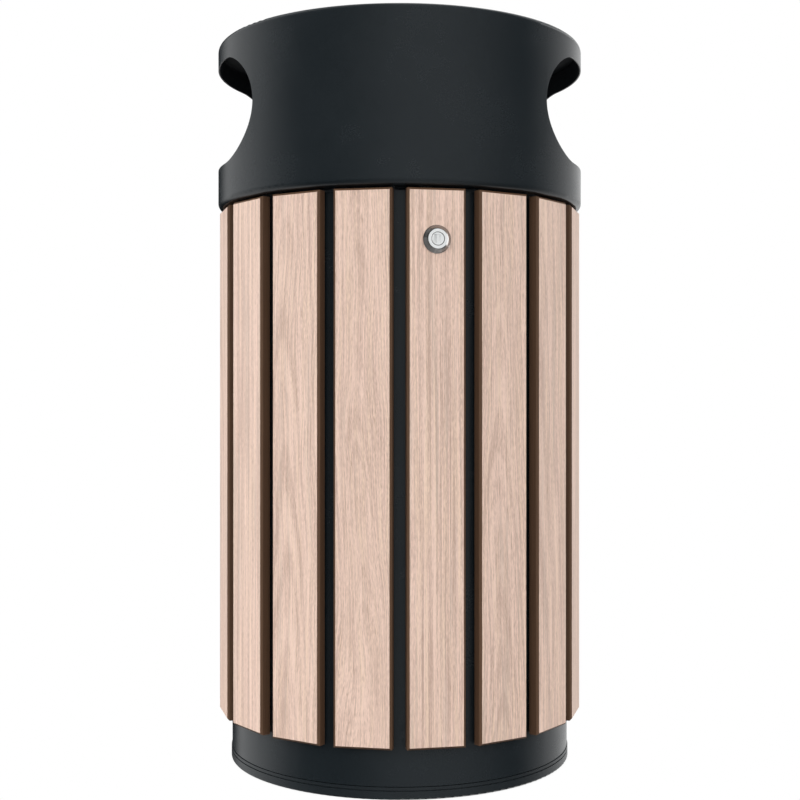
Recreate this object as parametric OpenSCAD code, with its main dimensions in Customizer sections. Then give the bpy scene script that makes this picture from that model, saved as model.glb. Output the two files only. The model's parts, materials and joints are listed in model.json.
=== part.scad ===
// Litter bin: a steel drum faced with upright slats, a round hood with two throw-in
// openings that tips back on rear hinges, a cam lock, and a lift-out liner with a bail.
// Frame: origin at the centre of the underside, on the ground. +Z is up, -Y is the
// front (the lock side) and +X is to the right seen from the front. Millimetres.
// Angles around the bin are counted from the front, positive to the right.

/* [Hood] */
// Outside diameter of the hood
hood_d = 450; // [448:1:454]
// Height from the ground to the top of the hood
total_h = 869; // [860:1:880]
// Gap between the tops of the slats and the hood's rim
hood_gap = 2.5; // [2.3:0.1:3]
// Rounding of the hood's top edge
top_round = 5.5; // [4:0.5:8]
// Rounding of the hood's rim
rim_round = 7.5; // [3:0.5:8]
// Width of a throw-in opening, front to back
opening_w = 300; // [260:2:310]
// Height of a throw-in opening
opening_h = 124; // [100:2:130]
// Height of the openings' centre above the ground
opening_z = 780.5; // [775:0.5:790]

/* [Slats] */
// Distance from the bin's axis to a slat's outer face
slat_face_r = 221; // [220:0.5:222]
// Width of a slat, chamfers included
slat_w = 65; // [58:1:65]
// Thickness of a slat
slat_t = 13; // [12:0.5:14]
// Length of a slat
slat_l = 611; // [600:1:612]
// Height of the slats' lower ends above the ground
slat_z0 = 58; // [57:1:61]
// Chamfer around a slat's outer face
slat_chamfer = 2.5; // [1:0.5:3]
// Chamfer around a slat's inner face
back_chamfer = 1.5; // [0.5:0.5:2]

/* [Drum and foot] */
// Thickness of the drum's and hood's sheet steel
sheet = 2; // [1.5:0.5:2]
// Height of the foot ring
foot_h = 14; // [12:1:15]
// How far the foot ring stands proud of the drum
foot_proud = 0.9; // [0.6:0.1:1.5]
// Diameter of the circle through the ground anchor holes
anchor_pcd = 240; // [200:10:280]
// Diameter of a ground anchor hole
anchor_d = 11; // [9:1:13]

/* [Lock] */
// Distance from the slats' tops down to the lock's axis
lock_drop = 56; // [54:1:60]
// Diameter of the lock's bezel on the slat
bezel_d = 31; // [28:0.5:32]
// Diameter of the lock's raised face
lock_face_d = 21.5; // [20:0.5:23]
// How far the lock's face stands out of the slat
lock_proud = 6; // [4:0.5:6]

/* [Hinge] */
// Distance from the bin's axis back to the hinge axis
hinge_y = 232; // [231.5:0.5:233]
// Height of the hinge axis above the ground
hinge_z = 664; // [663:0.5:664]
// Distance of each hinge from the bin's middle plane
hinge_x = 38.6; // [38.2:0.2:39]

/* [Liner] */
// Outside radius of the liner's wall
liner_r = 176; // [170:1:177]
// Height of the liner's rim above the ground
liner_top = 580; // [520:5:584]

/* [Hidden] */
$fn = 96;
eps = 0.02;
n_slats = 17;
pitch = 360 / n_slats;

hood_r = hood_d / 2;
slat_top = slat_z0 + slat_l;
hood_z0 = slat_top + hood_gap;
slat_back_r = slat_face_r - slat_t;
drum_r = slat_back_r - 0.2;
drum_ir = drum_r - sheet;
drum_top = slat_top - 1;
drum_z0 = foot_h + 0.6;
foot_r = drum_r + foot_proud;
foot_round = 2;

plate_t = 2.5;
pan_flat_r = 184;
pan_rim_r = 192;
pan_flange_h = 26;
foot_ir = 194;
groove_z = 10.2;
groove_w = 1.3;
groove_depth = 1.6;
foot_screws = 6;
foot_screw_r = 199;

ring_ir = 190;
ring_leg = 23;
hood_ring_ir = 190;
hood_flange_ir = 208;
hood_ring_z = hood_z0 + sheet + 0.1;
buffer_r = 6;
buffer_at = 197;
buffer_angles = [60, 130, 230, 300];

slat_screw_z = [slat_z0 + 41, slat_top - 33];
screw_shank_r = 2.4;
screw_head_r = 4.5;
screw_head_h = 2.6;
screw_bite = 9;

lock_a = pitch / 2;
lock_z = slat_top - lock_drop;
barrel_r = 9.5;
barrel_back = 194.5;
plug_r = 6;
plug_head_r = 6.8;
plug_head_t = 3;
cam_t = 3;
cam_r = 190;
cam_w = 16;
cam_reach = 23;
drive = 7;
stud_r = 2.5;
key_h = 9;
socket_w = 6.6;
socket_at = 4.2;
slot_w = 2.4;
slot_depth = 1.4;

keeper_t0 = -41;
keeper_t1 = -34;
keeper_foot_t = -14;
keeper_z = lock_z - 17;
keeper_foot_h = 7;
keeper_tab_r = 201.5;
keeper_rivet_r = 197;
keeper_rivet_t = [keeper_t0 + 6, keeper_foot_t - 6];
notch_r = 202.5;

pin_r = 3;
bush_r = 4;
knuckle_r = 5.5;
tongue_w = 6;
cheek_w = 4;
cheek_gap = 0.4;
hinge_a = 180 - asin(hinge_x / drum_r);
leaf_a = 180 - asin(hinge_x / hood_r);
bracket_bolt_z = [hinge_z - 66, hinge_z - 43];
leaf_bolt_z = [hinge_z + 31, hinge_z + 46];
bolt_r = 2.5;

liner_t = 1.5;
liner_z0 = plate_t + 0.3;
liner_floor = 18;
bead_r = 2.7;
bead_at = liner_r + 2.3;
ear_w = 24;
ear_t = 2;
ear_x = bead_at + bead_r + 1.2;
bail_wire_r = 3;
bail_r = bead_at + 0.2;
bail_z = liner_top + bail_wire_r + 0.2;
rivet_z = [liner_top - 38, liner_top - 24];

anthracite = [0.17, 0.18, 0.19];
black = [0.08, 0.08, 0.09];
oak = [0.85, 0.76, 0.68];
zinc = [0.68, 0.69, 0.71];
chrome = [0.85, 0.86, 0.88];

// ---- Placing and shared shapes ----

// Puts a shape at an angle around the bin: its +Z points out, its +Y up, its +X right.
module radial(a, r, z) {
    rotate([0, 0, a]) translate([0, -r, z]) rotate([90, 0, 0]) children();
}

// A section drawn in Y and Z, extruded along X between x0 and x1.
module slab_x(x0, x1) {
    translate([x0, 0, 0]) rotate([90, 0, 90]) linear_extrude(x1 - x0) children();
}

module tube(r0, r1, z0, z1) {
    translate([0, 0, z0]) rotate_extrude() translate([r0, 0]) square([r1 - r0, z1 - z0]);
}

// A hexagon nut or washer blank with its bore, flat on z = 0.
module hex_nut(corner_r, bore_r, h) {
    difference() {
        cylinder(r = corner_r, h = h, $fn = 6);
        translate([0, 0, -1]) cylinder(r = bore_r, h = h + 2);
    }
}

// A button head with its hexagon socket, flat on z = 0.
module button_head(r, h) {
    difference() {
        intersection() {
            cylinder(r = r, h = h);
            translate([0, 0, h - 1.55 * r]) sphere(r = 1.55 * r);
        }
        translate([0, 0, h / 2]) cylinder(r = r * 0.42, h = h, $fn = 6);
    }
}

// Half section of a round block, rounded at its outer top and bottom edges.
module block_2d(r, z0, z1, top, bottom) {
    translate([0, z0 + bottom]) square([r, z1 - z0 - top - bottom]);
    translate([0, z0]) square([r - bottom, bottom + 1]);
    translate([0, z1 - top - 1]) square([r - top, top + 1]);
    translate([r - top, z1 - top]) circle(top);
    translate([r - bottom, z0 + bottom]) circle(bottom);
}

// An upright or lying obround, centred, w by h.
module obround_2d(w, h) {
    straight = w - h;
    translate([-straight / 2, -h / 2]) square([straight, h]);
    for (s = [-1, 1]) translate([s * straight / 2, 0]) circle(h / 2);
}

// ---- Base ----

// Moulded ring under the drum's lower edge, with one fine line around it.
module foot_ring() {
    color(black) difference() {
        rotate_extrude() difference() {
            union() {
                translate([foot_ir, 0]) square([foot_r - foot_ir - foot_round, foot_h]);
                translate([foot_ir, foot_round])
                    square([foot_r - foot_ir, foot_h - foot_round]);
                translate([foot_r - foot_round, foot_round]) circle(foot_round);
            }
            translate([foot_r - groove_depth, groove_z - groove_w / 2]) square([5, groove_w]);
        }
        for (i = [0:foot_screws - 1]) rotate([0, 0, i * 360 / foot_screws])
            translate([foot_screw_r, 0, -1]) {
                cylinder(r = screw_shank_r + 0.1, h = foot_h + 2);
                cylinder(r = screw_head_r + 0.3, h = 5);
            }
    }
}

// Screws that hold the foot ring up to the pan's rim.
module foot_ring_screws() {
    color(zinc) for (i = [0:foot_screws - 1]) rotate([0, 0, i * 360 / foot_screws])
        translate([foot_screw_r, 0, 0]) {
            translate([0, 0, 4 - eps]) cylinder(r = screw_shank_r, h = 14);
            translate([0, 0, 4 - eps]) mirror([0, 0, 1]) button_head(screw_head_r, 2.6);
        }
}

// Pressed pan: its flat rests on the ground and takes the anchors, its flange joins the drum.
module base_pan() {
    rim_z = foot_h + 0.2;
    color(anthracite) difference() {
        rotate_extrude() union() {
            square([pan_flat_r, plate_t]);
            polygon([
                [pan_flat_r - 1, 0], [pan_flat_r, 0], [pan_rim_r, rim_z],
                [pan_rim_r + 1, rim_z], [pan_rim_r + 1, rim_z + plate_t],
                [pan_rim_r - 1.5, rim_z + plate_t], [pan_flat_r - 1.5, plate_t],
                [pan_flat_r - 1.5, 0]
            ]);
            translate([pan_rim_r, rim_z]) square([drum_ir - 0.1 - pan_rim_r, plate_t]);
            translate([drum_ir - 0.1 - sheet, rim_z]) square([sheet, pan_flange_h]);
        }
        for (a = [45:90:315]) rotate([0, 0, a]) translate([anchor_pcd / 2, 0, -1])
            cylinder(d = anchor_d, h = plate_t + 2);
        for (a = [0:90:270]) rotate([0, 0, a]) translate([pan_flat_r - 14, 0, -1])
            cylinder(r = 4, h = plate_t + 2);
        for (i = [0:foot_screws - 1]) rotate([0, 0, i * 360 / foot_screws])
            translate([foot_screw_r, 0, rim_z - 1])
                cylinder(r = screw_shank_r + 0.05, h = plate_t + 2);
    }
}

// Rolled sheet drum; its lower edge ends just above the foot ring.
module drum() {
    color(anthracite) difference() {
        tube(drum_ir, drum_r, drum_z0, drum_top);
        for (i = [0:n_slats - 1]) for (z = slat_screw_z)
            radial((i + 0.5) * pitch, drum_ir - 5, z) cylinder(r = screw_shank_r + 0.2, h = 12);
        radial(lock_a, drum_ir - 5, lock_z) cylinder(r = barrel_r + 0.1, h = 12);
        for (s = [-1, 1]) for (z = bracket_bolt_z)
            radial(s * hinge_a, drum_ir - 5, z) cylinder(r = bolt_r + 0.2, h = 12);
    }
}

// Angle ring inside the drum's mouth, notched where the keeper comes down.
module top_ring() {
    color(anthracite) difference() {
        rotate_extrude() {
            translate([ring_ir, drum_top - plate_t])
                square([drum_ir - 0.1 - ring_ir, plate_t]);
            translate([drum_ir - 0.1 - sheet, drum_top - ring_leg]) square([sheet, ring_leg]);
        }
        rotate([0, 0, lock_a]) translate([keeper_t0 - 6, -notch_r, drum_top - 4])
            cube([46, 20, 6]);
        for (a = buffer_angles) rotate([0, 0, a]) translate([0, -buffer_at, drum_top - 4])
            cylinder(r = 3.1, h = 6);
    }
}

// Rubber buttons that the closed hood sits on.
module rubber_buffers() {
    color(black) for (a = buffer_angles) rotate([0, 0, a]) translate([0, -buffer_at, 0]) {
        translate([0, 0, drum_top + eps])
            cylinder(r1 = buffer_r, r2 = buffer_r - 1, h = hood_ring_z - drum_top - 0.25);
        translate([0, 0, drum_top - plate_t - 2]) cylinder(r = 3, h = plate_t + 3);
        translate([0, 0, drum_top - plate_t - 3]) cylinder(r = 4, h = 3 - eps);
    }
}

// ---- Slats ----

// Compact-laminate slat i, counted from 1 at the lock and on to the right.
module slat(i) {
    w = slat_w / 2;
    c = slat_chamfer;
    b = back_chamfer;
    color(oak) rotate([0, 0, (i - 0.5) * pitch]) difference() {
        intersection() {
            translate([0, 0, slat_z0]) linear_extrude(slat_l) polygon([
                [b - w, -slat_back_r], [-w, -slat_back_r - b], [-w, c - slat_face_r],
                [c - w, -slat_face_r], [w - c, -slat_face_r], [w, c - slat_face_r],
                [w, -slat_back_r - b], [w - b, -slat_back_r]
            ]);
            slab_x(-w - 1, w + 1) polygon([
                [-slat_back_r, slat_z0 + b], [-slat_back_r - b, slat_z0],
                [c - slat_face_r, slat_z0], [-slat_face_r, slat_z0 + c],
                [-slat_face_r, slat_top - c], [c - slat_face_r, slat_top],
                [-slat_back_r - b, slat_top], [-slat_back_r, slat_top - b]
            ]);
        }
        for (z = slat_screw_z) radial(0, slat_back_r - 1, z)
            cylinder(r = screw_shank_r + 0.1, h = screw_bite + 1.5);
        if (i == 1) radial(0, slat_back_r - 1, lock_z)
            cylinder(r = barrel_r + 0.1, h = slat_t + 2);
    }
}

// Two screws a slat, driven from inside the drum.
module slat_screws() {
    seat = sqrt(drum_ir * drum_ir - screw_head_r * screw_head_r) - eps;
    color(zinc) for (i = [0:n_slats - 1]) for (z = slat_screw_z)
        radial((i + 0.5) * pitch, seat, z) {
            translate([0, 0, -0.5]) cylinder(r = screw_shank_r, h = slat_back_r + screw_bite - seat);
            mirror([0, 0, 1]) button_head(screw_head_r, screw_head_h);
        }
}

// ---- Hinges ----

// Bracket in the gap beside the rear slat, with the tongue and the stop nose behind it.
module hinge_bracket(s) {
    mid = s * hinge_x;
    pad_z = hinge_z - 74;
    y0 = sqrt(pow(drum_r, 2) - pow(hinge_x - tongue_w / 2, 2)) + 0.4;
    color(anthracite) difference() {
        union() {
            intersection() {
                tube(drum_r + 0.05, drum_r + 3, pad_z, hinge_z - 2);
                translate([mid - 5.2, 150, pad_z]) cube([10.4, 100, 90]);
            }
            slab_x(mid - tongue_w / 2, mid + tongue_w / 2) {
                polygon([
                    [y0, hinge_z - 30], [y0 + 3.5, hinge_z - 30], [hinge_y, hinge_z - knuckle_r],
                    [hinge_y, hinge_z + 4.5], [y0, hinge_z + 4.5]
                ]);
                translate([hinge_y, hinge_z]) circle(knuckle_r);
                polygon([
                    [hinge_y, hinge_z + 5.4], [hinge_y + 8.6, hinge_z + 2.7],
                    [hinge_y + 13, hinge_z + 1.9], [hinge_y + 13, hinge_z - 1.5],
                    [hinge_y, hinge_z - knuckle_r]
                ]);
            }
        }
        translate([mid - 10, hinge_y, hinge_z]) rotate([0, 90, 0]) cylinder(r = bush_r, h = 20);
        for (z = bracket_bolt_z) radial(s * hinge_a, drum_r - 5, z)
            cylinder(r = bolt_r + 0.1, h = 12);
    }
}

module hinge_bushes() {
    color("ivory") for (s = [-1, 1])
        translate([s * hinge_x - tongue_w / 2, hinge_y, hinge_z]) rotate([0, 90, 0])
            tube(pin_r + 0.05, bush_r - eps, 0, tongue_w);
}

module bracket_bolts() {
    seat = drum_r + 3 + eps;
    color(zinc) for (s = [-1, 1]) for (z = bracket_bolt_z) radial(s * hinge_a, seat, z) {
        button_head(4.4, 2.6);
        translate([0, 0, -11]) cylinder(r = bolt_r, h = 11.5);
    }
}

module bracket_nuts() {
    color(zinc) for (s = [-1, 1]) for (z = bracket_bolt_z)
        radial(s * hinge_a, drum_ir - 4.2, z) hex_nut(4.6, bolt_r + 0.1, 4);
}

// Clevis plate on the back of the hood: two cheeks either side of the bracket's tongue.
module hinge_leaf(s) {
    mid = s * hinge_x;
    inner = tongue_w / 2 + cheek_gap;
    outer = inner + cheek_w;
    pad_z = hinge_z + 13;
    cheek_top = hinge_z + 26;
    color(anthracite) difference() {
        union() {
            intersection() {
                tube(hood_r + 0.05, hood_r + 3, pad_z, pad_z + 39);
                translate([mid - 9.4, 150, pad_z]) cube([18.8, 100, 90]);
            }
            for (side = [-1, 1]) {
                x = mid + side * (inner + cheek_w / 2);
                slab_x(x - cheek_w / 2, x + cheek_w / 2) {
                    polygon([
                        [hinge_y - 13, pad_z], [hinge_y - 13, cheek_top], [hinge_y - 6, cheek_top],
                        [hinge_y + 4.6, hinge_z + 3], [hinge_y - knuckle_r, hinge_z]
                    ]);
                    translate([hinge_y, hinge_z]) circle(knuckle_r);
                }
            }
            translate([mid - outer, hinge_y - 7.5, hinge_z + 8]) cube([2 * outer, 3, 8]);
        }
        tube(0.5, hood_r + 0.05, hinge_z - 10, pad_z + 60);
        translate([mid - 15, hinge_y, hinge_z]) rotate([0, 90, 0])
            cylinder(r = pin_r + eps, h = 30);
        for (z = leaf_bolt_z) radial(s * leaf_a, hood_r - 5, z)
            cylinder(r = bolt_r + 0.1, h = 12);
    }
}

// Headed pins, riveted over at their inner ends.
module hinge_pins() {
    grip = tongue_w / 2 + cheek_gap + cheek_w + eps;
    color(zinc) for (s = [-1, 1]) translate([s * hinge_x, hinge_y, hinge_z]) rotate([0, s * 90, 0]) {
        translate([0, 0, -grip - 0.6]) cylinder(r = pin_r, h = 2 * grip + 1.2);
        translate([0, 0, grip]) cylinder(r1 = 4.8, r2 = 4.2, h = 1.6);
        translate([0, 0, -grip - 1.2]) cylinder(r1 = 3.6, r2 = 4.2, h = 1.2);
    }
}

module leaf_bolts() {
    color(zinc) for (s = [-1, 1]) for (z = leaf_bolt_z) radial(s * leaf_a, hood_r + 3 + eps, z) {
        button_head(4.4, 2.6);
        translate([0, 0, -10.5]) cylinder(r = bolt_r, h = 11);
    }
}

module leaf_nuts() {
    color(zinc) for (s = [-1, 1]) for (z = leaf_bolt_z)
        radial(s * leaf_a, hood_r - sheet - 4.2, z) hex_nut(4.6, bolt_r + 0.1, 4);
}

// ---- Lock ----

// Lock housing: bezel cone on the slat and a barrel through slat and drum.
module lock_body() {
    face = slat_face_r + lock_proud;
    color(chrome) radial(lock_a, 0, lock_z) difference() {
        union() {
            translate([0, 0, barrel_back]) cylinder(r = barrel_r, h = slat_face_r - barrel_back + 1);
            translate([0, 0, slat_face_r + eps]) cylinder(d = bezel_d, h = 0.8);
            translate([0, 0, slat_face_r + 0.8])
                cylinder(d1 = bezel_d, d2 = lock_face_d + 1, h = lock_proud - 1.4);
            translate([0, 0, face - 0.6 - eps])
                cylinder(d1 = lock_face_d + 1, d2 = lock_face_d, h = 0.6 + eps);
        }
        translate([0, 0, barrel_back - 1]) cylinder(r = plug_r + 0.05, h = 60);
        translate([0, 0, face - plug_head_t]) cylinder(r = plug_head_r + 0.05, h = 10);
        translate([0, 0, face - 0.6])
            cylinder(r1 = plug_head_r + 0.05, r2 = plug_head_r + 0.75, h = 0.6 + eps);
    }
}

module lock_washer() {
    color(zinc) radial(lock_a, 0, lock_z) tube(barrel_r + 0.1, 13.5, 203.3, 205.1);
}

module lock_nut() {
    color(zinc) radial(lock_a, 198.2, lock_z) hex_nut(13, barrel_r + 0.1, 5);
}

// Rotating core: head with the key socket, shaft, square drive and threaded stud.
module lock_plug() {
    face = slat_face_r + lock_proud - 0.2;
    shaft_back = barrel_back - 1;
    color(chrome) radial(lock_a, 0, lock_z) difference() {
        union() {
            translate([0, 0, shaft_back]) cylinder(r = plug_r, h = face - shaft_back - 1);
            translate([0, 0, face - plug_head_t + 0.3]) cylinder(r = plug_head_r, h = plug_head_t - 0.3);
            translate([-drive / 2, -drive / 2, cam_r - 0.1]) cube([drive, drive, 5]);
            translate([0, 0, cam_r - 4.7]) cylinder(r = stud_r, h = 6);
        }
        translate([-socket_at, -key_h / 2, face - 0.5]) cube([socket_w, key_h, 2]);
        translate([-socket_at, -key_h / 2, face - slot_depth]) cube([slot_w, key_h, 8]);
    }
}

// Cam plate: upright when unlocked, level over the keeper's foot when locked.
module lock_cam() {
    hole = drive + 0.1;
    color(zinc) radial(lock_a, cam_r, lock_z) difference() {
        linear_extrude(cam_t) {
            circle(cam_w / 2);
            translate([-cam_w / 2, 0]) square([cam_w, cam_reach]);
            translate([0, cam_reach]) circle(cam_w / 2);
        }
        translate([-hole / 2, -hole / 2, -1]) cube([hole, hole, cam_t + 2]);
    }
}

module cam_nut() {
    color(zinc) radial(lock_a, cam_r - 3.7, lock_z) hex_nut(5.6, stud_r + 0.1, 3.5);
}

// ---- Hood ----

// One welded shell: wall, top and the flange turned in at the rim, cut by both openings.
module hood_shell() {
    color(anthracite) difference() {
        rotate_extrude() difference() {
            block_2d(hood_r, hood_z0, total_h, top_round, rim_round);
            block_2d(hood_r - sheet, hood_z0 + sheet, total_h - sheet,
                top_round - sheet, rim_round - sheet);
            translate([-1, hood_z0 - 1]) square([hood_flange_ir + 1, sheet + 2]);
        }
        translate([0, 0, opening_z]) slab_x(-hood_r - 5, hood_r + 5)
            obround_2d(opening_w, opening_h);
        for (s = [-1, 1]) for (z = leaf_bolt_z) radial(s * leaf_a, hood_r - 8, z)
            cylinder(r = bolt_r + 0.1, h = 12);
    }
}

// Flat ring inside the rim: it seats on the buffers and carries the keeper.
module hood_ring() {
    color(anthracite) difference() {
        tube(hood_ring_ir, hood_r - rim_round, hood_ring_z, hood_ring_z + plate_t);
        for (t = keeper_rivet_t) rotate([0, 0, lock_a])
            translate([t, -keeper_rivet_r, hood_ring_z - 1]) cylinder(r = 2.05, h = plate_t + 2);
    }
}

// Hook plate that hangs inside the drum beside the lock.
module keeper() {
    drop = hood_ring_z - 0.1;
    color(anthracite) rotate([0, 0, lock_a]) difference() {
        union() {
            translate([keeper_t0, -cam_r - cam_t, keeper_z])
                cube([keeper_t1 - keeper_t0, cam_t, drop - keeper_z]);
            translate([keeper_t0, -cam_r - cam_t, keeper_z])
                cube([keeper_foot_t - keeper_t0, cam_t, keeper_foot_h]);
            translate([keeper_t0, -cam_r - cam_t, drop - 14])
                cube([keeper_foot_t - keeper_t0, cam_t, 14]);
            translate([keeper_t0, -keeper_tab_r, drop - plate_t])
                cube([keeper_foot_t - keeper_t0, keeper_tab_r - cam_r, plate_t]);
        }
        for (t = keeper_rivet_t)
            translate([t, -keeper_rivet_r, drop - 5]) cylinder(r = 2.05, h = 10);
    }
}

module keeper_rivets() {
    low = hood_ring_z - 0.1 - plate_t;
    high = hood_ring_z + plate_t;
    color(anthracite) rotate([0, 0, lock_a]) for (t = keeper_rivet_t)
        translate([t, -keeper_rivet_r, 0]) {
            translate([0, 0, low - 0.5]) cylinder(r = 2, h = high - low + 1);
            translate([0, 0, high + eps]) cylinder(r1 = 3.8, r2 = 3, h = 1.3);
            translate([0, 0, low - 1.2 - eps]) cylinder(r1 = 3, r2 = 3.8, h = 1.2);
        }
}

// ---- Liner ----

// Sheet bucket, its rim rolled over a wire; its floor is raised clear of the anchor bolts.
module liner() {
    color(zinc) difference() {
        rotate_extrude() {
            translate([liner_r - liner_t, liner_z0]) square([liner_t, liner_top - bead_r - liner_z0]);
            translate([0, liner_floor]) square([liner_r - liner_t / 2, liner_t]);
            translate([bead_at, liner_top - bead_r]) circle(bead_r);
        }
        for (a = [0:60:300]) rotate([0, 0, a]) translate([60, 0, liner_floor - 1])
            cylinder(r = 4, h = liner_t + 2);
        for (s = [-1, 1]) for (z = rivet_z) radial(s * 90, liner_r - 6, z)
            cylinder(r = 2.55, h = 12);
    }
}

// Strap riveted to the wall and joggled out past the rim, with the bail's hole.
module liner_ear(s) {
    x0 = liner_r + 0.05;
    top = bail_z + 8;
    color(zinc) mirror([s < 0 ? 1 : 0, 0, 0]) difference() {
        translate([0, ear_w / 2, 0]) rotate([90, 0, 0]) linear_extrude(ear_w) polygon([
            [x0, liner_top - 45], [x0 + ear_t, liner_top - 45], [x0 + ear_t, liner_top - 14],
            [ear_x + ear_t, liner_top - 7], [ear_x + ear_t, top], [ear_x, top],
            [ear_x, liner_top - 6], [x0, liner_top - 13]
        ]);
        translate([ear_x - 3, 0, bail_z]) rotate([0, 90, 0]) cylinder(r = bail_wire_r + 0.08, h = 10);
        for (z = rivet_z) translate([liner_r - 3, 0, z]) rotate([0, 90, 0])
            cylinder(r = 2.55, h = 10);
    }
}

module ear_rivets() {
    back = sqrt(pow(liner_r - liner_t, 2) - 16) - eps;
    front = liner_r + 0.05 + ear_t + eps;
    color(zinc) for (s = [-1, 1]) for (z = rivet_z) translate([0, 0, z]) rotate([0, s * 90, 0]) {
        translate([0, 0, back - 0.5]) cylinder(r = 2.5, h = front - back + 1);
        translate([0, 0, back - 1.2]) cylinder(r1 = 3.2, r2 = 4, h = 1.2);
        translate([0, 0, front]) cylinder(r1 = 4, r2 = 3.2, h = 1.2);
    }
}

// Wire bail, lying on the rear half of the rim, its ends peened outside the ears.
module liner_handle() {
    color(zinc) translate([0, 0, bail_z]) {
        rotate_extrude(angle = 180) translate([bail_r, 0]) circle(bail_wire_r);
        for (s = [-1, 1]) rotate([0, s * 90, 0]) {
            translate([0, 0, bail_r]) cylinder(r = bail_wire_r, h = ear_x + ear_t + 0.5 - bail_r);
            translate([0, 0, ear_x + ear_t + 0.2]) cylinder(r1 = 4.2, r2 = 3.6, h = 1);
        }
        for (s = [-1, 1]) translate([s * bail_r, 0, 0]) sphere(r = bail_wire_r);
    }
}

foot_ring();
foot_ring_screws();
base_pan();
drum();
top_ring();
rubber_buffers();
slat(1);  // slat_01
slat(2);  // slat_02
slat(3);  // slat_03
slat(4);  // slat_04
slat(5);  // slat_05
slat(6);  // slat_06
slat(7);  // slat_07
slat(8);  // slat_08
slat(9);  // slat_09
slat(10);  // slat_10
slat(11);  // slat_11
slat(12);  // slat_12
slat(13);  // slat_13
slat(14);  // slat_14
slat(15);  // slat_15
slat(16);  // slat_16
slat(17);  // slat_17
slat_screws();
hinge_bracket(-1);  // hinge_bracket_left
hinge_bracket(1);  // hinge_bracket_right
hinge_bushes();
bracket_bolts();
bracket_nuts();
lock_body();
lock_washer();
lock_nut();
lock_plug();
lock_cam();
cam_nut();
hood_shell();
hood_ring();
keeper();
keeper_rivets();
hinge_leaf(-1);  // hinge_leaf_left
hinge_leaf(1);  // hinge_leaf_right
hinge_pins();
leaf_bolts();
leaf_nuts();
liner();
liner_ear(-1);  // liner_ear_left
liner_ear(1);  // liner_ear_right
ear_rivets();
liner_handle();
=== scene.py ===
"""Looks of the slatted litter bin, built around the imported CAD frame.

Metres, in the frame's own axes: +Z up, -Y the front. Angles round the bin are in
degrees from the front, positive to the right (+X), as in the CAD source.
"""
import json
import math

import bpy
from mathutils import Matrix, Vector


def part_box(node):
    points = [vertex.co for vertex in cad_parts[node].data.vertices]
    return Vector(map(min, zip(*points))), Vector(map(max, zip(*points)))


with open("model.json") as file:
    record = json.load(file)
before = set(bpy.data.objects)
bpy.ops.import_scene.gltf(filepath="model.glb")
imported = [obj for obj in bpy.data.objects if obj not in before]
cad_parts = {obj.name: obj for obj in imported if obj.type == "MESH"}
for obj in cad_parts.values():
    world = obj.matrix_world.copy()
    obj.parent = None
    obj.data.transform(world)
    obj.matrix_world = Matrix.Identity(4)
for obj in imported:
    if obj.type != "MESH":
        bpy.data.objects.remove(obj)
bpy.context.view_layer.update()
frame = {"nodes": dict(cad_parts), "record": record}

# ---- Driving values ----

MM = 0.001
SLATS = [f"slat_{i:02d}" for i in range(1, 18)]
PITCH = 360.0 / len(SLATS)

# Large round sheets keep the frame's own smooth shading, so their edges aren't softened.
ROUND = ("drum", "hood_shell", "liner", "base_pan", "liner_handle", "hood_ring", "top_ring")

# Camera: level, a little under mid height, straight in front.
CAMERA_BACK = 1.637
CAMERA_HEIGHT = 0.441
CAMERA_LENS = 58.76
CAMERA_SENSOR = 36.0
CAMERA_SHIFT = (0.0005, -0.0033)
CAMERA_NEAR = 0.05

# Edge softening, one width per kind of part.
SLAT_EDGE = 0.25 * MM
STEEL_EDGE = 0.3 * MM
FINE_EDGE = 0.15 * MM
EDGE_SEGMENTS = 2
WELD = 0.005 * MM
EDGE_ANGLE = 28.0

# Lengths inside materials are in millimetres.
# Thickness of the decor paper on both faces of a slat.
PAPER = 0.12

# The hood's inner side starts this far in from its outside and this far below its top. Together
# the two pairs follow its rounded edge. The rim's height at its lower end is left out.
INNER_SIDE = ((1.0, 2.5), (2.5, 1.0))
INNER_RIM = 8.0

# How strongly the grain of a slat bends into cathedrals, by slat number; the others are straight.
ARCHES = {17: 1.0, 16: 0.6, 2: 0.7, 5: 0.8, 9: 0.6, 12: 1.0, 3: 0.3, 14: 0.35}

# Colours, linear.
STEEL = (0.0112, 0.0152, 0.0180)
# Painted light: a lighter grey for the hood's inner side, standing in for light that reaches inside
# it.
INSIDE_PAINTED_LIGHT = (0.026, 0.030, 0.035)
FOOT = (0.0115, 0.0152, 0.0178)
DECOR_LIGHT = (0.800, 0.592, 0.492)
DECOR_DARK = (0.505, 0.356, 0.290)
DECOR_YELLOW = (0.775, 0.590, 0.440)
DECOR_GREY = (0.57, 0.462, 0.39)
DECOR_PORE = (0.400, 0.262, 0.190)
CORE = (0.098, 0.053, 0.030)
RUBBER = (0.012, 0.012, 0.013)
ZINC = (0.62, 0.64, 0.67)
ZINC_WARM = (0.66, 0.64, 0.56)
CHROME_CONE = (0.36, 0.352, 0.345)
CHROME_FLAT = (0.75, 0.765, 0.765)
NYLON = (0.78, 0.74, 0.62)
COAT_ROUGHNESS = 0.24

# Panels that reflections see: from and to azimuth, fading width before and after, brightness.
# The glow from straight above and below grows over a range of the direction's vertical part.
FRONT_PANEL = (12.0, 32.0, 55.0, 55.0, 0.30)
SIDE_PANELS = (
    (-134.0, -110.0, 16.0, 50.0, 0.80),
    (129.0, 184.0, 50.0, 8.0, 0.72),
    (150.0, 184.0, 24.0, 8.0, 0.20),
)
GLOW_ABOVE = 0.12
GLOW_BELOW = 0.2
GLOW_RANGE = (0.55, 0.95)

# Panels that only the lock reflects: name, azimuth, elevation, side in metres, radiance.
LOCK_PANELS = (
    ("lock_right", 112.0, 2.0, 1.2, 3.0),
    ("lock_left", -80.0, -20.0, 1.6, 0.2),
    ("lock_low", 20.0, -70.0, 1.6, 0.16),
)
LOCK_PANEL_AWAY = 1.2

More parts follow.
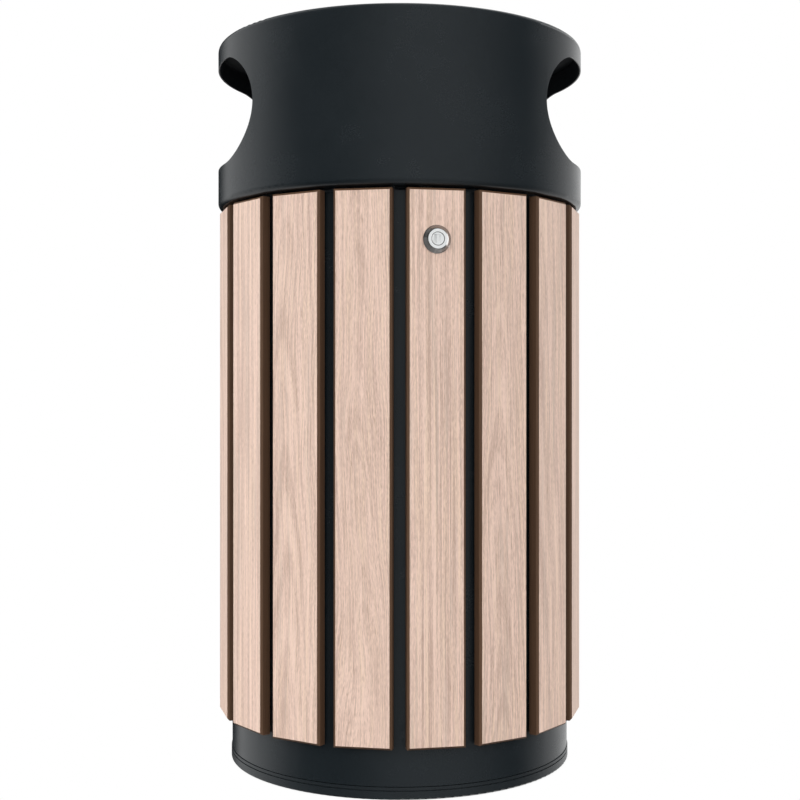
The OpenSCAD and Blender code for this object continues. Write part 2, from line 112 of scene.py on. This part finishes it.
# Ring of soft suns, leaning a little to the left, and the one overhead.
RING_SUNS = 8
RING_ELEVATION = 18.0
RING_STRENGTH = 1.27
RING_LEAN = 0.16
RING_SPREAD = 60.0
TOP_STRENGTH = 0.9
TOP_SPREAD = 90.0

# Floor: its side, its drop below the bin, the reach of the painted contact shadow in metres, the
# shadow's tone at full contact, and how open a spot must be to show none.
FLOOR_SIDE = 60.0
FLOOR_DROP = 0.2 * MM
PAINTED_SHADOW_REACH = 0.03
PAINTED_SHADOW_TONE = 0.90
PAINTED_SHADOW_OPEN = 0.6


# ---- Node graphs ----

class Graph:
    """A node tree being built. An input may be a number, a tuple or another socket."""

    def __init__(self, tree):
        self.tree = tree
        tree.nodes.clear()

    def put(self, kind, inputs=None, **settings):
        made = self.tree.nodes.new("ShaderNode" + kind)
        for key, value in settings.items():
            setattr(made, key, value)
        for key, value in (inputs or {}).items():
            self.plug(made.inputs[key], value)
        return made

    def plug(self, socket, value):
        if isinstance(value, bpy.types.NodeSocket):
            self.tree.links.new(value, socket)
            return
        if socket.type == "RGBA" and len(value) == 3:
            value = (*value, 1.0)
        socket.default_value = value

    def math(self, operation, a, b=0.0, c=0.0, clamp=False):
        made = self.put("Math", {0: a, 1: b, 2: c}, operation=operation, use_clamp=clamp)
        return made.outputs[0]

    def vector(self, operation, a, b=(0.0, 0.0, 0.0)):
        return self.put("VectorMath", {0: a, 1: b}, operation=operation).outputs[0]

    def split(self, vector):
        return self.put("SeparateXYZ", {0: vector}).outputs

    def join(self, x, y, z):
        return self.put("CombineXYZ", {0: x, 1: y, 2: z}).outputs[0]

    def noise(self, vector, scale, detail=2.0, rough=0.5):
        inputs = {"Vector": vector, "Scale": scale, "Detail": detail, "Roughness": rough}
        return self.put("TexNoise", inputs).outputs[0]

    def remap(self, value, low, high, to_low=0.0, to_high=1.0, smooth=True):
        kind = "SMOOTHSTEP" if smooth else "LINEAR"
        inputs = {0: value, 1: low, 2: high, 3: to_low, 4: to_high}
        return self.put("MapRange", inputs, interpolation_type=kind).outputs[0]

    def mix(self, share, a, b, blend="MIX"):
        inputs = {0: share, 6: a, 7: b}
        return self.put("Mix", inputs, data_type="RGBA", blend_type=blend).outputs[2]

    def tint(self, colour, tone):
        """The colour made lighter or darker by the tone."""
        return self.mix(1.0, colour, self.join(tone, tone, tone), "MULTIPLY")

    def turned(self, vector, angle):
        """The vector as seen by a part that stands at that angle round the bin."""
        inputs = {"Vector": vector, "Angle": -math.radians(angle)}
        return self.put("VectorRotate", inputs, rotation_type="Z_AXIS").outputs[0]

    def bump(self, height, depth, strength):
        inputs = {"Height": height, "Distance": depth, "Strength": strength}
        return self.put("Bump", inputs).outputs[0]

    def place(self):
        """The point being shaded, in millimetres in the part's own frame."""
        point = self.put("TexCoord").outputs["Object"]
        return self.vector("MULTIPLY", point, (1 / MM, 1 / MM, 1 / MM))

    def surface(self, **inputs):
        named = {key.replace("_", " "): value for key, value in inputs.items()}
        bsdf = self.put("BsdfPrincipled", named)
        out = self.put("OutputMaterial")
        self.tree.links.new(bsdf.outputs[0], out.inputs[0])


def new_material(name):
    material = bpy.data.materials.new(name)
    material.use_nodes = True
    return material, Graph(material.node_tree)


# ---- Materials ----

def inner_side(g, point, node):
    """1 on the inner side of the hood's sheet, its top included, and 0 outside it and at its rim."""
    low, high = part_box(node)
    level = g.vector("MULTIPLY", point, (1.0, 1.0, 0.0))
    reach = g.put("VectorMath", {0: level}, operation="LENGTH").outputs["Value"]
    height = g.split(point)[2]
    inside = 0.0
    for inset, drop in INNER_SIDE:
        within = g.math("LESS_THAN", reach, high.x / MM - inset)
        under = g.math("LESS_THAN", height, high.z / MM - drop)
        inside = g.math("MAXIMUM", inside, g.math("MULTIPLY", within, under))
    return g.math("MULTIPLY", inside, g.math("GREATER_THAN", height, low.z / MM + INNER_RIM))


def powder_coat(name, colour, roughness, shell=None):
    """Fine-textured powder coat: orange peel about a millimetre across, and faint dust.

    The inner side of the node named by shell has hardly any gloss and is given a lighter colour as
    painted light, standing in for light that reaches inside the hood.
    """
    material, g = new_material(name)
    point = g.place()
    peel = g.noise(point, 0.9, 3.0, 0.55)
    cloud = g.noise(point, 0.012, 3.0, 0.6)
    speck = g.noise(point, 4.0, 1.0)
    dust = g.remap(cloud, 0.35, 0.75, 0.97, 1.04)
    tone = g.math("MULTIPLY", dust, g.remap(speck, 0.3, 0.7, 0.96, 1.04))
    shade = g.tint(colour, tone)
    dull = g.remap(g.math("ADD", cloud, g.math("MULTIPLY", peel, 0.3)), 0.4, 0.9,
                   roughness - 0.03, roughness + 0.05)
    gloss = 0.5
    if shell:
        inside = inner_side(g, point, shell)
        # Painted light: the inner side gets a lighter colour than the outside.
        shade = g.mix(inside, shade, INSIDE_PAINTED_LIGHT)
        dull = g.math("MULTIPLY_ADD", inside, 0.35, dull)
        gloss = g.math("MULTIPLY_ADD", inside, -0.35, gloss)
    g.surface(Base_Color=shade, Roughness=dull, Specular_IOR_Level=gloss,
              Normal=g.bump(peel, 0.012 * MM, 0.6))
    return material


def moulded_plastic(name, colour, roughness, grain):
    """Moulded plastic with a fine spark-eroded grain."""
    material, g = new_material(name)
    point = g.place()
    pits = g.noise(point, grain, 2.0, 0.6)
    cloud = g.noise(point, 0.03, 2.0)
    tone = g.remap(cloud, 0.3, 0.7, 0.93, 1.07)
    shade = g.tint(colour, tone)
    dull = g.remap(pits, 0.3, 0.7, roughness - 0.04, roughness + 0.06)
    g.surface(Base_Color=shade, Roughness=dull, Normal=g.bump(pits, 0.02 * MM, 0.6))
    return material


def plated_steel(name, colour, roughness):
    """Bright zinc plating: a bluish sheen with soft cloudy patches and fine scratches."""
    material, g = new_material(name)
    point = g.place()
    cloud = g.noise(point, 0.25, 3.0, 0.6)
    fine = g.noise(g.vector("MULTIPLY", point, (6.0, 6.0, 0.5)), 1.0, 2.0)
    warm = g.mix(g.remap(cloud, 0.4, 0.7), colour, ZINC_WARM)
    dull = g.remap(g.math("ADD", cloud, g.math("MULTIPLY", fine, 0.5)), 0.5, 1.0,
                   roughness - 0.06, roughness + 0.1)
    g.surface(Base_Color=warm, Metallic=0.75, Roughness=dull, Normal=g.bump(fine, 0.006 * MM, 0.5))
    return material


def galvanised(name):
    """Hot-dip galvanising: angular spangles of different greys, slightly uneven."""
    material, g = new_material(name)
    point = g.place()
    warp = g.put("TexNoise", {"Vector": point, "Scale": 0.12, "Detail": 2.0}).outputs[1]
    bent = g.vector("ADD", point, g.vector("MULTIPLY", warp, (5.0, 5.0, 5.0)))
    cells = g.put("TexVoronoi", {"Vector": bent, "Scale": 0.11})
    flake = g.split(cells.outputs["Color"])[0]
    grain = g.noise(point, 1.5, 3.0)
    tone = g.remap(g.math("ADD", flake, g.math("MULTIPLY", grain, 0.4)), 0.1, 1.3, 0.40, 0.66)
    shade = g.join(tone, g.math("MULTIPLY", tone, 1.02), g.math("MULTIPLY", tone, 1.05))
    dull = g.remap(flake, 0.0, 1.0, 0.32, 0.52)
    g.surface(Base_Color=shade, Metallic=0.7, Roughness=dull, Normal=g.bump(grain, 0.015 * MM, 0.5))
    return material


def chrome(name, angle):
    """Chrome plating for the lock at that angle: bright satin on flat faces, polished elsewhere."""
    material, g = new_material(name)
    point = g.place()
    fine = g.noise(point, 2.2, 3.0, 0.6)
    brushed = g.noise(g.vector("MULTIPLY", point, (5.0, 5.0, 0.8)), 1.0, 2.0)
    normal = g.turned(g.put("TexCoord").outputs["Normal"], angle)
    outward = g.math("MULTIPLY", g.split(normal)[1], -1.0)
    flat = g.remap(outward, 0.90, 0.98)
    tone = g.remap(brushed, 0.3, 0.7, 0.92, 1.06)
    shade = g.tint(g.mix(flat, CHROME_CONE, CHROME_FLAT), tone)
    metal = g.remap(flat, 0.0, 1.0, 0.97, 0.12, smooth=False)
    dull = g.math("MULTIPLY_ADD", fine, 0.06, g.remap(flat, 0.0, 1.0, 0.10, 0.34, smooth=False))
    g.surface(Base_Color=shade, Metallic=metal, Roughness=dull, Normal=g.bump(fine, 0.003 * MM, 0.4))
    return material


def oak_decor(g, point, seed, arch):
    """Colour and grain height of the oak decor. arch is 0 for straight grain, more for cathedrals."""
    x, _, z = g.split(point)
    place = g.join(g.math("MULTIPLY", x, 0.012), 7.3 * seed, g.math("MULTIPLY", z, 0.0032))
    reach = 4.0 + 42.0 * arch
    drift = g.math("MULTIPLY", g.math("SUBTRACT", g.noise(place, 1.0, 2.0), 0.5), reach)
    across = g.math("ADD", x, drift)

    def streaks(per_mm, along, detail=2.0, rough=0.55):
        """Noise drawn out along the grain: its changes per millimetre across and along."""
        where = g.join(g.math("MULTIPLY", across, per_mm), 3.1 * seed + per_mm,
                       g.math("MULTIPLY", z, along))
        return g.noise(where, 1.0, detail, rough)

    bow = g.math("POWER", g.math("MULTIPLY", across, 1 / 11.0), 2.0)
    cathedral = g.math("MULTIPLY", g.math("MULTIPLY_ADD", z, 1 / 34.0, bow), arch)
    straight = g.math("MULTIPLY", across, (1.0 - 0.75 * min(1.0, arch)) / 4.6)
    rings = g.math("ADD", g.math("ADD", cathedral, straight), 17.3 * seed)
    ring = g.put("TexNoise", {"W": rings, "Scale": 1.0, "Detail": 1.5}, noise_dimensions="1D")
    early = g.remap(ring.outputs[0], 0.30, 0.72)

    broad = streaks(0.13, 0.004, 2.0)
    fine = streaks(0.66, 0.0035, 3.0, 0.75)
    hair = streaks(1.30, 0.011, 2.0, 0.6)
    speck = streaks(1.50, 0.17, 1.0)
    pores = g.remap(streaks(1.05, 0.10, 1.0), 0.60, 0.68)
    pores = g.math("MULTIPLY", pores, g.remap(early, 0.25, 0.75, 0.35, 1.0))

    tone = 0.0
    layers = ((broad, 1.1), (fine, 2.2), (hair, 2.3), (speck, 1.6), (early, 0.52 - 0.2 * arch))
    for layer, weight in layers:
        tone = g.math("MULTIPLY_ADD", g.math("SUBTRACT", layer, 0.5), weight, tone)
    share = g.math("ADD", tone, 0.43, clamp=True)
    colour = g.mix(share, DECOR_LIGHT, DECOR_DARK)
    yellow = g.remap(streaks(0.40, 0.005, 2.0), 0.48, 0.62, 0.0, 0.55)
    colour = g.mix(yellow, colour, g.mix(share, DECOR_YELLOW, DECOR_DARK))
    grey = g.remap(streaks(0.16, 0.004, 2.0), 0.56, 0.70, 0.0, 0.35)
    colour = g.mix(grey, colour, DECOR_GREY)
    colour = g.mix(g.math("MULTIPLY", pores, 0.45), colour, DECOR_PORE)
    height = g.math("MULTIPLY_ADD", pores, -0.6, g.math("MULTIPLY", hair, 0.5))
    return colour, height


def core_brown(g, point):
    """The laminate's pressed-paper core: thin layers side by side, slightly fuzzy from the saw."""
    layers = g.noise(g.vector("MULTIPLY", point, (0.05, 3.2, 0.02)), 1.0, 2.0)
    fuzz = g.noise(point, 1.3, 3.0, 0.6)
    tone = g.math("MULTIPLY", g.remap(layers, 0.3, 0.7, 0.82, 1.2), g.remap(fuzz, 0.3, 0.7, 0.9, 1.1))
    return g.tint(CORE, tone), fuzz


def laminate(name, angle, seed, arch, skin):
    """Compact laminate for one slat at that angle: decor on both faces, brown core between.

    skin holds the distances from the bin's axis of the inner and outer face, in millimetres.
    """
    material, g = new_material(name)
    point = g.turned(g.place(), angle)
    decor, grain = oak_decor(g, point, seed, arch)
    core, fuzz = core_brown(g, point)
    depth = g.math("MULTIPLY", g.split(point)[1], -1.0)
    outer = g.math("GREATER_THAN", depth, skin[1] - PAPER)
    inner = g.math("LESS_THAN", depth, skin[0] + PAPER)
    face = g.math("MAXIMUM", outer, inner)
    shade = g.mix(face, core, decor)
    height = g.math("ADD", g.math("MULTIPLY", face, grain),
                    g.math("MULTIPLY", g.math("SUBTRACT", 1.0, face), fuzz))
    dull = g.remap(face, 0.0, 1.0, 0.62, 0.5, smooth=False)
    sheen = g.remap(face, 0.0, 1.0, 0.35, 0.4, smooth=False)
    g.surface(Base_Color=shade, Roughness=dull, Specular_IOR_Level=sheen,
              Normal=g.bump(height, 0.03 * MM, 0.5))
    return material


# ---- Applying the finishes to the frame ----

def soften(node, width):
    """Welds the part's faces together and rounds its sharp edges a little, without moving it."""
    piece = frame["nodes"][node]
    weld = piece.modifiers.new("weld", "WELD")
    weld.merge_threshold = WELD
    bevel = piece.modifiers.new("edges", "BEVEL")
    bevel.limit_method = "ANGLE"
    bevel.angle_limit = math.radians(EDGE_ANGLE)
    bevel.width = width
    bevel.segments = EDGE_SEGMENTS
    bevel.harden_normals = True


def finish_slats():
    low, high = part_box("slat_09")
    skin = (low.y / MM, high.y / MM)
    for i, node in enumerate(SLATS, start=1):
        angle = (i - 0.5) * PITCH
        finish = laminate("oak_" + node, angle, i, ARCHES.get(i, 0.0), skin)
        frame["nodes"][node].data.materials[0] = finish
        soften(node, SLAT_EDGE)


def finish_rest():
    """One finish per material slot of the record, and the edge softening that suits it."""
    finishes = {
        "anthracite_coat": (powder_coat("powder_coat", STEEL, COAT_ROUGHNESS), STEEL_EDGE),
        "black_polymer": (moulded_plastic("foot_plastic", FOOT, 0.34, 1.2), None),
        "black_rubber": (moulded_plastic("rubber", RUBBER, 0.7, 2.0), FINE_EDGE),
        "zinc_plated_steel": (plated_steel("zinc_plating", ZINC, 0.28), FINE_EDGE),
        "galvanised_sheet": (galvanised("galvanising"), FINE_EDGE),
        "lock_chrome": (chrome("lock_chrome_plate", PITCH / 2), FINE_EDGE),
        "nylon": (moulded_plastic("natural_nylon", NYLON, 0.4, 1.6), None),
    }
    for part in frame["record"]["subparts"]:
        slot = part["material_slot"]
        if slot not in finishes:
            continue
        finish, edge = finishes[slot]
        frame["nodes"][part["node"]].data.materials[0] = finish
        if edge and part["node"] not in ROUND:
            soften(part["node"], edge)
    hood = powder_coat("powder_coat_hood_painted_inner_light", STEEL, COAT_ROUGHNESS, "hood_shell")
    frame["nodes"]["hood_shell"].data.materials[0] = hood


# ---- Studio ----

def lobe(g, azimuth, low, high, soft_low, soft_high, strength):
    """A bright panel standing from azimuth low to high, fading out over soft_low and soft_high."""
    middle = (low + high) / 2
    half = (high - low) / 2
    off = g.math("WRAP", g.math("SUBTRACT", azimuth, middle), 180.0, -180.0)
    rise = g.remap(off, -half - soft_low, -half, 0.0, strength)
    fall = g.remap(off, half, half + soft_high, 1.0, 0.0)
    return g.math("MULTIPLY", rise, fall)


def make_world():
    """White to the camera. Reflections see tall soft panels round a dark studio."""
    world = bpy.data.worlds.new("studio")
    bpy.context.scene.world = world
    world.use_nodes = True
    g = Graph(world.node_tree)
    x, y, z = g.split(g.put("TexCoord").outputs["Generated"])
    azimuth = g.math("DEGREES", g.math("ARCTAN2", x, g.math("MULTIPLY", y, -1.0)))
    level = lobe(g, azimuth, *FRONT_PANEL)
    for panel in SIDE_PANELS:
        level = g.math("ADD", level, lobe(g, azimuth, *panel))
    above = g.remap(z, *GLOW_RANGE, 0.0, GLOW_ABOVE)
    below = g.remap(g.math("MULTIPLY", z, -1.0), *GLOW_RANGE, 0.0, GLOW_BELOW)
    glow = g.math("ADD", level, g.math("ADD", above, below))
    seen = g.put("LightPath").outputs["Is Camera Ray"]
    colour = g.mix(seen, g.join(glow, glow, glow), (1.0, 1.0, 1.0))
    background = g.put("Background", {"Color": colour})
    out = g.put("OutputWorld")
    g.tree.links.new(background.outputs[0], out.inputs[0])
    world.cycles_visibility.diffuse = False


def aim(lamp, towards):
    """Turns a lamp so that its light comes from the given direction."""
    lamp.rotation_mode = "QUATERNION"
    lamp.rotation_quaternion = towards.to_track_quat("Z", "Y")


def direction(azimuth, elevation):
    a, e = math.radians(azimuth), math.radians(elevation)
    return Vector((math.sin(a) * math.cos(e), -math.cos(a) * math.cos(e), math.sin(e)))


def soft_sun(name, azimuth, elevation, strength, spread):
    """A very soft sun that lights surfaces without showing in reflections."""
    sun = bpy.data.lights.new(name, "SUN")
    sun.energy = strength
    sun.angle = math.radians(spread)
    lamp = bpy.data.objects.new(name, sun)
    bpy.context.scene.collection.objects.link(lamp)
    aim(lamp, direction(azimuth, elevation))
    lamp.visible_glossy = False


def lock_panels():
    """Small panels that only the lock's chrome reflects: bright on the right, dim left and below."""
    lock = [frame["nodes"][name] for name in ("lock_body", "lock_plug")]
    group = bpy.data.collections.new("lock_only")
    for piece in lock:
        group.objects.link(piece)
    low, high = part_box("lock_plug")
    centre = (low + high) / 2
    for name, azimuth, elevation, side, radiance in LOCK_PANELS:
        panel = bpy.data.lights.new(name, "AREA")
        panel.size = side
        panel.energy = radiance * math.pi * side * side
        lamp = bpy.data.objects.new(name, panel)
        bpy.context.scene.collection.objects.link(lamp)
        towards = direction(azimuth, elevation)
        lamp.location = centre + towards * LOCK_PANEL_AWAY
        aim(lamp, towards)
        lamp.visible_diffuse = False
        lamp.visible_camera = False
        lamp.light_linking.receiver_collection = group


def make_lights():
    """A ring of soft suns, a little stronger on the left, and one overhead."""
    for i in range(RING_SUNS):
        azimuth = i * 360.0 / RING_SUNS
        lean = 1.0 - RING_LEAN * math.sin(math.radians(azimuth))
        soft_sun(f"ring_sun_{i}", azimuth, RING_ELEVATION, RING_STRENGTH * lean, RING_SPREAD)
    soft_sun("top_sun", 0.0, 90.0, TOP_STRENGTH, TOP_SPREAD)
    lock_panels()


def make_floor():
    """A plain white floor that only the camera sees, with a painted contact shadow where the bin
    stands on it.
    """
    mesh = bpy.data.meshes.new("floor")
    half = FLOOR_SIDE / 2
    corners = [(-half, -half, 0), (half, -half, 0), (half, half, 0), (-half, half, 0)]
    mesh.from_pydata(corners, [], [(0, 1, 2, 3)])
    floor = bpy.data.objects.new("floor", mesh)
    bpy.context.scene.collection.objects.link(floor)
    floor.location.z = -FLOOR_DROP
    material, g = new_material("floor_white_painted_shadow")
    # Painted contact shadow: ambient occlusion darkens the floor's emission near the bin.
    contact = g.put("AmbientOcclusion", {"Distance": PAINTED_SHADOW_REACH}, samples=16).outputs["AO"]
    tone = g.remap(contact, 0.0, PAINTED_SHADOW_OPEN, PAINTED_SHADOW_TONE, 1.0, smooth=False)
    glow = g.put("Emission", {"Color": g.join(tone, tone, tone)})
    out = g.put("OutputMaterial")
    g.tree.links.new(glow.outputs[0], out.inputs[0])
    mesh.materials.append(material)
    for kind in ("visible_diffuse", "visible_glossy", "visible_transmission", "visible_shadow"):
        setattr(floor, kind, False)


def make_camera():
    data = bpy.data.cameras.new("camera")
    data.lens = CAMERA_LENS
    data.sensor_width = CAMERA_SENSOR
    data.shift_x, data.shift_y = CAMERA_SHIFT
    data.clip_start = CAMERA_NEAR
    camera = bpy.data.objects.new("camera", data)
    camera.location = (0.0, -CAMERA_BACK, CAMERA_HEIGHT)
    camera.rotation_euler = (math.radians(90), 0.0, 0.0)
    bpy.context.scene.collection.objects.link(camera)
    bpy.context.scene.camera = camera


def set_view():
    settings = bpy.context.scene.view_settings
    settings.view_transform = "Standard"
    settings.look = "None"


finish_slats()
finish_rest()
make_world()
make_lights()
make_floor()
make_camera()
set_view()
